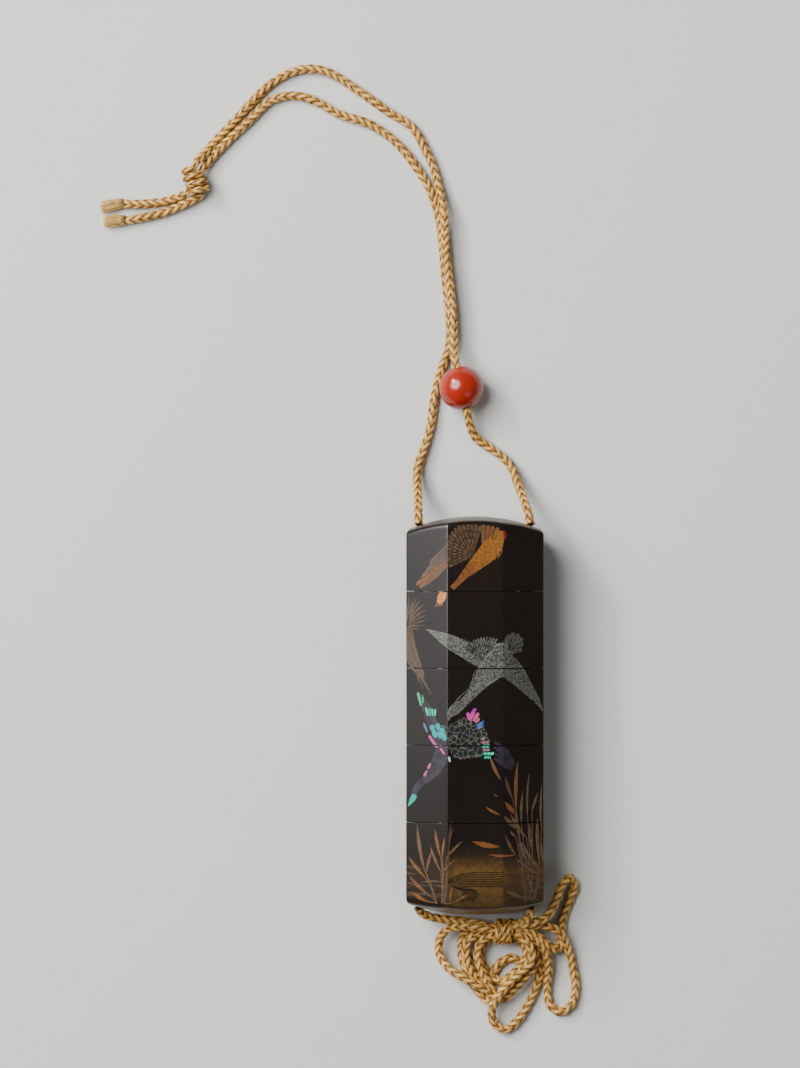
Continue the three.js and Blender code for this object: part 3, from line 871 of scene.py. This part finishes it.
def blade(base, tip, width, bend=0.0, shape=POINTED_TIP):
    """A leaf or a feather: an outline from base to tip, bowed to one side by bend."""
    base, tip = np.array(base, float), np.array(tip, float)
    way = tip - base
    side = np.array([-way[1], way[0]]) * bend
    return limb([(*(base + way * t + side * 4 * t * (1 - t)), width * w) for t, w in shape])


def petal(base, tip, width):
    """A straight feather with a round tip."""
    return blade(base, tip, width, 0, ROUND_TIP)


def fan(centre, angles, reach, rows):
    """Rows of round-tipped feathers about a point, from the outermost row in, each as (outer share
    of the reach, inner share, count). Gives the feathers and the lines between them."""
    spread = np.radians(angles)
    turns = np.linspace(*spread, len(reach))
    feathers, lines = [], []

    def at(turn, share):
        r = np.interp(turn, turns, reach) * share
        return centre[0] + r * math.cos(turn), centre[1] + r * math.sin(turn)

    for outer, inner, count in rows:
        edges = np.linspace(*spread, count + 1)
        for low, high in zip(edges, edges[1:]):
            tip = [at(low + (high - low) * s,
                      outer - 0.35 * (outer - inner) * (1 - math.sin(math.pi * s) ** 0.7))
                   for s in np.linspace(0, 1, 7)]
            feathers.append([at(low, inner * 0.7)] + tip + [at(high, inner * 0.7)])
            lines.append(stroke([at(low, inner * 0.92)] + tip))
    return feathers, lines


def golden_bird(gold, red):
    """A crane diving to the left, in gold and brown."""
    feathers, lines = fan((-0.6, 39.2), (72, 205), (7.9, 8.5, 8.6, 8.0, 7.2, 6.9, 6.6),
                          [(1, 0.76, 17), (0.78, 0.56, 14), (0.58, 0.38, 11), (0.40, 0.20, 8),
                           (0.22, 0.03, 5)])
    for k, (base, tip, width) in enumerate((
            ((-6.4, 42.4), (-11.6, 37.6), 1.3), ((-6.4, 41.2), (-12.6, 35.7), 1.3),
            ((-6.4, 40.0), (-13.8, 34.2), 1.3), ((-6.4, 38.8), (-15.4, 32.3), 1.25),
            ((-6.6, 37.6), (-14.4, 31.7), 1.2))):
        gold.add([blade(base, tip, width, 0.03, ROUND_TIP)], (0.32, 0.36, 0.46, 0.66, 0.58)[k])
        gold.cuts.append(stroke([(base[0], base[1] - 0.55), ((base[0] + tip[0]) / 2 + 0.1,
                                                            (base[1] + tip[1]) / 2 - 0.55),
                                 (tip[0] + 0.5, tip[1] - 0.35)]))
        gold.cuts.append(stroke([(base[0], base[1] - 0.05), (tip[0] + 1.4, tip[1] + 1.1)], 0.09))
    gold.add(feathers, 0.22, 0.38)
    gold.cuts += lines
    for k in range(4):
        gold.add([petal((2.0 + 0.5 * k, 41.5), (1.9 + 1.25 * k, 47.5 - 0.35 * k), 1.1)], 0.42, 0.62)
        gold.cuts.append(stroke([(2.6 + 0.7 * k, 43.4), (2.5 + 1.25 * k, 47.4 - 0.35 * k)]))
    gold.add([limb([(-2.4, 35.0, 1.0), (0.4, 37.7, 1.75), (3.6, 40.9, 2.35), (5.4, 43.4, 1.75),
                    (6.2, 45.6, 0.7)])], 0.80)
    gold.add([limb([(-1.2, 36.2, 1.25), (1.2, 38.2, 1.55), (3.2, 39.7, 1.5)])], 0.76)
    gold.add([limb([(-5.7, 31.5, 0.62), (-4.2, 33.0, 0.72), (-2.4, 35.0, 1.0), (-0.6, 36.8, 1.35)])],
             0.60)
    gold.add([limb([(-9.3, 27.9, 0.5), (-8.6, 28.9, 1.05), (-7.9, 30.2, 0.9), (-7.6, 30.7, 0.5)])],
             1.0)
    for x in (-9.9, -9.2, -8.6):
        gold.add([blade((x + 0.5, 28.2), (x - 0.1, 27.0), 0.3)], 0.9)
    gold.cuts.append(limb([(-9.0, 28.9, 0.16), (-8.8, 29.0, 0.16)], 0.1))
    for x, y in ((5.1, 40.2), (5.9, 40.6), (6.5, 41.4)):
        gold.add([blade((x, y), (x - 0.5, y - 2.0), 0.3, 0.1)], 0.6)
    red.add([limb([(6.9, 45.6, 0.3), (7.3, 44.6, 0.5), (7.2, 43.6, 0.2)])], 0.5)


def striped_bird(gold):
    """A second crane, half round the left edge, with its neck to the lower right."""
    for tip in ((-16.0, 29.2), (-15.1, 29.3), (-14.2, 28.6), (-13.2, 27.6), (-12.6, 26.1),
                (-12.4, 24.8), (-13.2, 23.3), (-14.4, 22.3)):
        base = (-17.6 + 0.12 * (tip[1] - 26), 22.2 + 0.25 * (tip[1] - 24))
        gold.add([blade(base, tip, 0.42, 0.04)], 0.20, 0.36)
        gold.add([blade((base[0] + 0.3, base[1] - 0.3), (tip[0] + 0.3, tip[1] - 1.0), 0.3, 0.04)],
                 0.2, 0.3)
    for tip in ((-17.4, 30.0), (-18.6, 30.2), (-19.8, 29.8), (-21.0, 28.9), (-22.0, 27.6)):
        gold.add([blade((-18.3, 22.0), tip, 0.6, -0.04)], 0.24, 0.4)
    for k in range(9):
        start = (-20.9 + 0.55 * k, 21.6 + 0.45 * k - 0.06 * k * k)
        gold.add([limb([(*start, 0.10), (start[0] + 0.5, start[1] - 3.2, 0.30),
                        (-16.6 + 0.22 * k, 12.2 + 0.28 * k, 0.26),
                        (-13.6 + 0.06 * k, 8.9 + 0.16 * k, 0.12)])], 0.24, 0.42)
    gold.add([limb([(-14.1, 9.8, 0.42), (-12.6, 7.6, 0.24), (-11.2, 5.4, 0.10)])], 0.30)
    gold.add([limb([(-15.1, 9.9, 0.22), (-14.0, 7.9, 0.12), (-13.6, 7.0, 0.05)])], 0.26)


def silver_bird(silver):
    """A third crane, its wings spread wide, in silver."""
    silver.add([limb([(-12.6, 21.4, 0.12), (-10.6, 20.5, 0.62), (-7.2, 18.9, 1.55),
                      (-3, 16.8, 2.1), (1.6, 14.6, 2.5), (3.2, 13.4, 1.4)])], 0.62)
    for k, tip in enumerate(((8.6, 20.2), (9.9, 20.6), (11.2, 20.2), (12.3, 19.2), (12.4, 17.8),
                             (12.1, 16.6))):
        silver.add([petal((6.6, 15.8), tip, 1.5)], 0.30, 0.42)
        silver.cuts.append(stroke([(8.4, 17.0 - 0.1 * k), (tip[0] - 0.5, tip[1] - 0.9)]))
    silver.add([limb([(7.0, 13.2, 3.1), (10.2, 10.6, 2.6), (13.2, 7.3, 1.7), (15.9, 4.2, 0.9),
                      (17.9, 1.2, 0.08)])], 0.44)
    silver.add([limb([(8.6, 17.0, 1.6), (6.4, 15.2, 3.2), (4.2, 12.4, 3.5), (1.8, 9.2, 2.2),
                      (-0.6, 6.0, 1.25), (-3.0, 3.4, 1.05), (-4.9, 1.9, 1.35), (-6.1, 0.7, 0.95),
                      (-6.6, -0.9, 0.10)])], 0.52)
    feathers, lines = fan((1.4, 13.4), (52, 142), (7.2, 6.6, 6.1, 5.6, 5.2),
                          [(1, 0.66, 13), (0.68, 0.4, 9), (0.42, 0.1, 5)])
    silver.add(feathers, 0.40, 0.56)
    silver.cuts += lines
    silver.add([stroke([(1.2, 12.1), (2.6, 14.4), (4.9, 17.2), (5.8, 17.9)], 0.3)], 0.95)
    silver.add([stroke([(-6.6, 1.3), (-4.2, 4.5), (-1.6, 7.1), (0.0, 11.4)], 0.16)], 0.85)
    for k in range(5):
        silver.cuts.append(stroke([(8.2 + 1.5 * k, 12.6 - 2.1 * k), (10.4 + 1.3 * k, 13.6 - 2.5 * k)]))


def pearl_bird(shell, dark):
    """A fourth crane, in dark shell with bright pieces let into its wings and tail."""
    dark.add([limb([(-8.9, -3.0, 1.0), (-6.4, -4.2, 2.9), (-3.6, -5.0, 5.2), (-0.6, -6.2, 4.6),
                    (1.6, -7.6, 3.0), (2.6, -8.4, 1.6)])], 0.5)
    dark.add([limb([(-14.6, 5.2, 0.2), (-12.6, 2.2, 1.2), (-10.9, -1.6, 1.3), (-9.6, -4.6, 1.2),
                    (-8.4, -8.2, 1.7), (-9.6, -11.8, 1.9), (-12.0, -14.8, 1.1),
                    (-15.0, -17.2, 0.9), (-16.6, -20.2, 0.5)])], 0.3)
    shell.add([petal((-14.0, 2.6), (-14.9, 5.9), 0.7), blade((-13.4, 3.2), (-13.6, 5.4), 0.35)],
              0.78, 0.86)
    for k in range(4):
        shell.add([petal((-12.1 + 0.62 * k, 0.2), (-12.7 + 0.85 * k, 2.2 - 0.12 * k), 0.55)],
                  0.62, 0.95)
    shell.add([petal((-12.3, -3.9), (-13.3, -1.6), 0.6)], 0.36)
    for x, y in ((-10.9, -2.9), (-9.4, -2.5), (-8.2, -3.6), (-10.3, -4.3), (-8.9, -4.4),
                 (-7.8, -5.0)):
        shell.add([petal((x + 0.35, y - 0.8), (x - 0.3, y + 0.8), 1.35)], 0.56, 0.66)
    for k in range(4):
        shell.add([petal((-10.7 + 0.35 * k, -6.3 - 0.45 * k), (-11.9 + 0.4 * k, -4.6 - 0.5 * k),
                         0.7)], 0.08, 0.28)
    shell.add([petal((-7.6, -9.2), (-8.8, -7.7), 0.6)], 0.14)
    shell.add([petal((-6.2, -11.1), (-6.5, -9.7), 0.55)], 0.97)
    beak = ((0, 0.35), (0.3, 0.5), (1, 0.05))
    shell.add([blade((-15.6, -19.3), (-17.6, -22.2), 1.5, 0, beak)], 0.64)
    for x, y in ((-11.9, -12.4), (-12.9, -14.2)):
        shell.add([petal((x + 0.5, y + 0.9), (x - 0.3, y - 0.5), 0.7)], 0.2)
    for base, tip, tint in (((-1.6, -0.4), (0.1, 2.1), 0.04), ((-1.4, -0.8), (-1.9, 1.1), 0.1),
                            ((-0.4, -1.0), (0.8, 1.0), 0.18), ((0.0, -1.4), (1.0, -0.3), 0.26),
                            ((-1.2, -0.9), (-0.4, 1.3), 0.22)):
        shell.add([petal(base, tip, 0.9)], tint)
    for k in range(3):
        shell.add([blade((0.3, -2.3 - 0.35 * k), (2.2, -0.9 - 0.65 * k), 0.5)], 0.36, 0.44)
    for row, (tint, count) in enumerate(((0.30, 1), (0.28, 2), (0.86, 2), (0.30, 2), (0.80, 3),
                                         (0.66, 2))):
        for k in range(count):
            x, y = 1.9 + 0.85 * k + 0.12 * row, -5.4 - 0.92 * row
            shell.add([petal((x - 0.4, y - 0.1), (x + 0.42, y + 0.25), 0.72)], tint + 0.04 * k)
    for k in range(4):
        dark.add([blade((4.6, -6.0 - 1.4 * k), (10.2 - 0.3 * k, -12.2 - 0.4 * k), 1.5, 0.05)], 0.35)


LEFT_REEDS = [
    ((-13.0, -37.9), (-15.1, -26.4), 1.0, 0.50), ((-12.8, -39.6), (-17.4, -34.6), 0.9, 0.58),
    ((-12.1, -43.7), (-17.3, -39.3), 0.9, 0.58), ((-12.1, -45.5), (-16.7, -43.2), 0.9, 0.68),
    ((-8.7, -37.9), (-11.6, -31.5), 0.7, 0.55), ((-12.6, -38.5), (-11.0, -32.9), 0.75, 0.50),
    ((-8.6, -34.6), (-10.2, -27.6), 0.85, 0.62), ((-8.2, -34.6), (-7.6, -29.6), 0.7, 0.62),
    ((-7.1, -34.6), (-3.1, -30.4), 0.6, 0.48), ((-8.2, -38.2), (-4.8, -34.9), 0.45, 0.48),
    ((-6.4, -33.5), (-5.8, -25.2), 0.35, 0.32), ((-6.6, -32.6), (-5.3, -26.8), 0.3, 0.32),
    ((-6.2, -45.6), (-5.7, -41.7), 0.7, 0.56), ((-4.9, -45.4), (-1.8, -43.6), 0.6, 0.52),
]
RIGHT_REEDS = [
    ((10.5, -23.5), (10.9, -10.9), 1.0, 0.58), ((13.6, -24.8), (14.1, -14.0), 0.6, 0.42),
    ((11.9, -26.2), (12.3, -18.2), 0.75, 0.42), ((14.8, -23.5), (16.6, -18.7), 0.6, 0.42),
    ((17.5, -27.9), (17.6, -16.8), 0.6, 0.45), ((9.5, -20.4), (7.4, -14.6), 0.85, 0.32),
    ((10.3, -23.9), (7.3, -20.8), 1.2, 0.64), ((10.8, -27.6), (7.1, -24.3), 1.2, 0.38),
    ((13.3, -29.9), (8.7, -23.7), 0.9, 0.46), ((10.5, -34.3), (7.2, -28.7), 0.8, 0.38),
    ((13.6, -36.0), (11.2, -29.9), 0.8, 0.46), ((14.8, -32.6), (14.1, -26.0), 1.0, 0.42),
    ((16.8, -35.4), (16.4, -25.1), 0.9, 0.46), ((17.6, -38.5), (10.8, -29.3), 0.9, 0.40),
    ((10.4, -29.6), (8.6, -27.9), 0.6, 0.48), ((16.9, -39.0), (10.3, -34.8), 0.7, 0.38),
    ((12.6, -44.6), (7.6, -42.6), 0.9, 0.36), ((15.4, -43.6), (13.6, -38.4), 0.8, 0.40),
]
LOOSE_LEAVES = [
    ((6.2, -15.4), (3.6, -9.6), 0.8), ((6.0, -24.0), (2.5, -22.0), 0.6),
    ((5.8, -31.8), (-0.7, -30.5), 1.3), ((10.3, -33.9), (3.2, -33.7), 0.6),
    ((5.5, -19.5), (4.5, -18.9), 0.3),
]


def reeds(gold, root, leaves):
    """Reeds from one root. Each leaf is (where it leaves its stalk, tip, width, tint)."""
    for base, tip, width, tint in leaves:
        foot = (root[0] + 0.35 * (base[0] - root[0]), root[1])
        middle = ((foot[0] + base[0]) / 2 + 0.3, (foot[1] + base[1]) / 2)
        gold.add([stroke([foot, middle, base], 0.24)], tint * 0.75)
        gold.add([blade(base, tip, width, 0.03)], tint)


def water(gold):
    """Streaming lines on the front, and long low ripples round the rest of the case."""
    for k in range(9):
        gold.add([stroke([(6.9, -38.2 - 0.44 * k), (1.0, -38.1 - 0.43 * k),
                          (-4.0, -38.7 - 0.40 * k), (-6.5 + 0.26 * k, -40.2 - 0.25 * k),
                          (-5.6 + 0.36 * k, -41.6 - 0.09 * k), (-3.6 + 0.42 * k, -42.4),
                          (-2.9 + 0.46 * k, -43.6), (-3.9 + 0.42 * k, -45.2)], WATER_LINE)], 0.0)
    rng = np.random.default_rng(4)
    for start in np.arange(-40.0, 40.0, 2.6):
        if -8.5 < start < 6.5:
            continue
        for height in (-36.8, -39.0, -41.2, -43.4)[2 if -18 < start < 0 else 0:]:
            y, long = height + rng.uniform(-0.7, 0.7), rng.uniform(3.5, 7.5)
            gold.add([blade((start, y), (start + long, y - rng.uniform(-0.3, 0.9)), 0.62, 0.03)],
                     0.10, 0.24)


def far_reeds(gold):
    """Reeds round the sides and the sloping parts of the back."""
    rng = np.random.default_rng(9)
    for side in (-1, 1):
        for place in np.arange(19.5, 40.5, 1.9):
            root = (side * place, -45.2)
            leaves = []
            for _ in range(3):
                base = (root[0] + rng.uniform(-1.2, 1.2), rng.uniform(-40, -30))
                tip = (base[0] + rng.uniform(-2.6, 2.6), base[1] + rng.uniform(6, 13))
                leaves.append((base, tip, rng.uniform(0.6, 1.0), rng.uniform(0.38, 0.62)))
            reeds(gold, root, leaves)


def build_pictures():
    gold, silver, shell, dark, red = (Picture(seed) for seed in range(5))
    water(gold)
    far_reeds(gold)
    reeds(gold, (14.4, -45.2), RIGHT_REEDS)
    reeds(gold, (-8.2, -45.8), LEFT_REEDS)
    gold.add([blade(base, tip, width, 0.04) for base, tip, width in LOOSE_LEAVES], 0.5, 0.62)
    striped_bird(gold)
    golden_bird(gold, red)
    silver_bird(silver)
    pearl_bird(shell, dark)
    gold.build("picture_gold", GOLD, "gold_leaf", 0.030)
    silver.build("picture_silver", SILVER, "silver_leaf", 0.026)
    dark.build("picture_dark_shell", DARK_SHELL, "shell", 0.018)
    shell.build("picture_bright_shell", BRIGHT_SHELL, "shell", 0.034)
    red.build("picture_red", RED, "lacquer", 0.024)


build_pictures()

# ---------------------------------------------------------------- the sliding bead

BEAD_MOUTH_ROUND = 0.25
BEAD_TURNS = 72
BEAD_STEPS = 44


def build_bead():
    mouth = math.asin((BEAD_BORE + BEAD_MOUTH_ROUND) / BEAD_RADIUS)
    profile = [(BEAD_RADIUS * math.sin(a), BEAD_RADIUS * math.cos(a))
               for a in np.linspace(math.pi - mouth, mouth, BEAD_STEPS)]
    end = profile[-1][1]
    rim = [(BEAD_BORE + BEAD_MOUTH_ROUND * (1 - math.sin(a)),
            end - 0.02 - BEAD_MOUTH_ROUND * (1 - math.cos(a))) for a in (0.5, 1.0, math.pi / 2)]
    profile += rim + [(r, -h) for r, h in reversed(rim)]
    points, faces = [], []
    x0, y0, z0 = BEAD_CENTRE
    lean = (math.cos(BEAD_LEAN), math.sin(BEAD_LEAN))
    count = len(profile)
    for k in range(BEAD_TURNS):
        turn = 2 * math.pi * k / BEAD_TURNS
        for r, h in profile:
            u, w = r * math.cos(turn), r * math.sin(turn)
            points.append((x0 + u * lean[0] - h * lean[1], y0 + u * lean[1] + h * lean[0], z0 + w))
        base, after = k * count, (k + 1) % BEAD_TURNS * count
        faces += [(base + i, base + (i + 1) % count, after + (i + 1) % count, after + i)
                  for i in range(count)]
    piece = link_mesh("ojime_bead_round", points, faces, CORAL)
    fix_outward(piece.data)
    piece.data.set_sharp_from_angle(angle=math.radians(50))
    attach(piece, "root")
    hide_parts("ojime_bead")
    return piece


bead = build_bead()

# ---------------------------------------------------------------- the cords

BOW_WRAPS = coil(BOW_KNOT, 0, lambda t: BOW_RING, BOW_STRETCH, -0.9 * math.pi, 3.0, 2.0, -2.2, 36)
CORE = (BOW_KNOT[0] - 0.8, BOW_KNOT[1], BOW_KNOT[2])
BOW_PATH = (
    LEAD_LEFT + FRONT_LOOP + NARROW_LOOP + LOWER_RIGHT_LOOP + WIDE_LOOP + BOW_WRAPS
    + [CORE] + ARCHING_LOOP + LOWEST_LOOP + [CORE] + turn_back(RAISED_LOOP) + turn_back(LEAD_RIGHT)
)


def bow_scale(line):
    """The turns round the knot are pulled tight, and so thinner."""
    x, y, z = (line - BOW_KNOT).T
    tight = (np.abs(x) < 2.6) & (np.hypot(y, z / BOW_STRETCH) < BOW_RING * 1.15)
    return np.where(tight, 0.82, 1.0)


bow, bow_line, bow_length = braid("cord_bow_braid", BOW_PATH, bow_scale)
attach(bow, "root")
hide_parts("cord_bow")


def knot_ring(t):
    """The end knot's turns are fullest at its middle, like an egg."""
    return 1.25 + 0.95 * math.sin(math.pi * (0.12 + 0.76 * t))


def knot_scale(line):
    """The cord is drawn thinner where it is wound into the end knot."""
    far = np.linalg.norm(line - END_KNOT, axis=1)
    return 1 - 0.24 * np.clip((END_KNOT_HALF + 1.6 - far) / 1.2, 0, 1)


END_WRAPS = coil(END_KNOT, END_KNOT_AXIS, knot_ring, 0.9, 0.4 * math.pi, 3.6,
                 -0.95 * END_KNOT_HALF, 0.95 * END_KNOT_HALF, 44, lean=0.55)
left, left_line, left_length = braid(
    "cord_left_braid", LEFT_STRAND + [(-69.6, 132.8, 2.9)] + TAIL_UPPER[:-1], knot_scale)
right, right_line, right_length = braid(
    "cord_right_braid", RIGHT_STRAND + END_WRAPS + TAIL_LOWER[:-1], knot_scale)


TUFT_FILAMENTS = 170
FILAMENT_RADIUS = 0.085
FILAMENT_STEPS = 5
FILAMENT_SIDES = 3


def tuft(name, start, end, spread, seed):
    """The frayed end of a tail: loose filaments, cut off square."""
    rng = np.random.default_rng(seed)
    start, end = np.array(start), np.array(end)
    along, across, up = line_frames(np.stack([start, end]))
    points, faces = [], []
    for _ in range(TUFT_FILAMENTS):
        reach, turn = math.sqrt(rng.uniform()), rng.uniform(0, 2 * math.pi)
        out = across[0] * math.cos(turn) + up[0] * math.sin(turn)
        length = rng.uniform(0.8, 1.0)
        line = []
        for t in np.linspace(0, 1, FILAMENT_STEPS):
            wide = reach * (CORD_DIAMETER / 2 * (1 - t) + spread * t**0.7)
            sway = across[0] * rng.normal(0, 0.05) + up[0] * rng.normal(0, 0.03)
            place = start + (end - start) * t * length + out * wide + sway * t
            place[2] = max(place[2], FILAMENT_RADIUS)
            line.append(place)
        line = np.array(line)
        _, a, b = line_frames(line)
        angles = np.arange(FILAMENT_SIDES) * 2 * math.pi / FILAMENT_SIDES
        ring = (line[:, None] + FILAMENT_RADIUS * (a[:, None] * np.cos(angles)[None, :, None]
                                                   + b[:, None] * np.sin(angles)[None, :, None]))
        base = FILAMENT_STEPS * FILAMENT_SIDES * len(points)
        faces += [[v + base for v in face] for face in tube_faces(FILAMENT_STEPS, FILAMENT_SIDES)]
        points.append(ring.reshape(-1, 3))
    piece = link_mesh(name, np.vstack(points), faces, SILK_ENDS)
    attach(piece, "root")
    return piece


tuft_upper = tuft("tuft_upper", (-87.2, 127.4, 1.25), (-93.3, 126.2, 1.4), 1.5, 11)
tuft_lower = tuft("tuft_lower", (-86.8, 123.1, 1.25), (-92.5, 122.8, 1.4), 1.5, 12)
for piece, line, length, on_it, nodes in (
    (left, left_line, left_length, [tuft_upper], ["cord_left_strand", "cord_tail_upper"]),
    (right, right_line, right_length, [tuft_lower, bead],
     ["cord_right_strand", "cord_tail_lower", "cord_end_knot"]),
):
    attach(piece, "root")
    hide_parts(*nodes)

for side in ("left", "right"):
    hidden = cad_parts[f"channel_cord_{side}"]
    hidden.data.materials.clear()
    hidden.data.materials.append(SILK)
